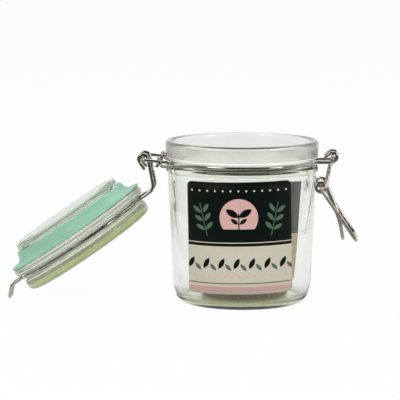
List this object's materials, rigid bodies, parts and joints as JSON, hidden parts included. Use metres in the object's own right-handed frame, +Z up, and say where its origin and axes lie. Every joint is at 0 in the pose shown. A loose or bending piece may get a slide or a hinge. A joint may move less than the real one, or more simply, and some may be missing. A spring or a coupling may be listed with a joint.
{
  "type": "jar grow kit",
  "caption": "Glass wire-bail jar standing open with its lid hinged over one side, holding a pressed coir disc and a paper sachet of seeds to grow in it.",
  "frame": {"origin": "centre of the jar's base, on the surface that the jar stands on", "axes": "+Z up along the jar's axis, +X towards the latch and away from the hinge, and the front label faces -Y"},
  "size_m": [0.2029, 0.0884, 0.0935],
  "materials": {
    "jar_body": "clear pressed glass with a faint green tint",
    "lid_glass": "clear pressed glass with a faint green tint",
    "gasket": "matt mint rubber",
    "neck_wire": "bright drawn steel wire",
    "hinge_stirrup": "bright drawn steel wire",
    "lid_wire": "bright drawn steel wire",
    "clasp_lever": "bright drawn steel wire",
    "clasp_bail": "bright drawn steel wire",
    "front_label": "printed film, dark green over cream",
    "coir_puck": "pressed coconut fibre",
    "seed_sachet": "brown paper with a dark band and a pinked seam"
  },
  "bodies": {
    "jar": {"jar_body": "jar_body", "neck_wire": "neck_wire", "hinge_stirrup": "hinge_stirrup", "front_label": "front_label", "coir_puck": "coir_puck", "seed_sachet": "seed_sachet"},
    "lid": {"lid_glass": "lid_glass", "gasket": "gasket", "lid_wire": "lid_wire"},
    "lever": {"clasp_lever": "clasp_lever"},
    "bail": {"clasp_bail": "clasp_bail"}
  },
  "joints": [
    {"name": "lid_hinge", "type": "hinge", "parent": "jar", "child": "lid", "pos_m": [-0.0565, 0, 0.0832], "axis": [0, 1, 0], "range_deg": [0, 214.35]},
    {"name": "lever_pivot", "type": "hinge", "parent": "jar", "child": "lever", "pos_m": [0.0519, 0, 0.08485], "axis": [0, -1, 0], "range_deg": [0, 180]},
    {"name": "bail_pivot", "type": "hinge", "parent": "lever", "child": "bail", "pos_m": [0.0455, 0, 0.06715], "axis": [0, -1, 0], "range_deg": [-36, 145]}
  ]
}
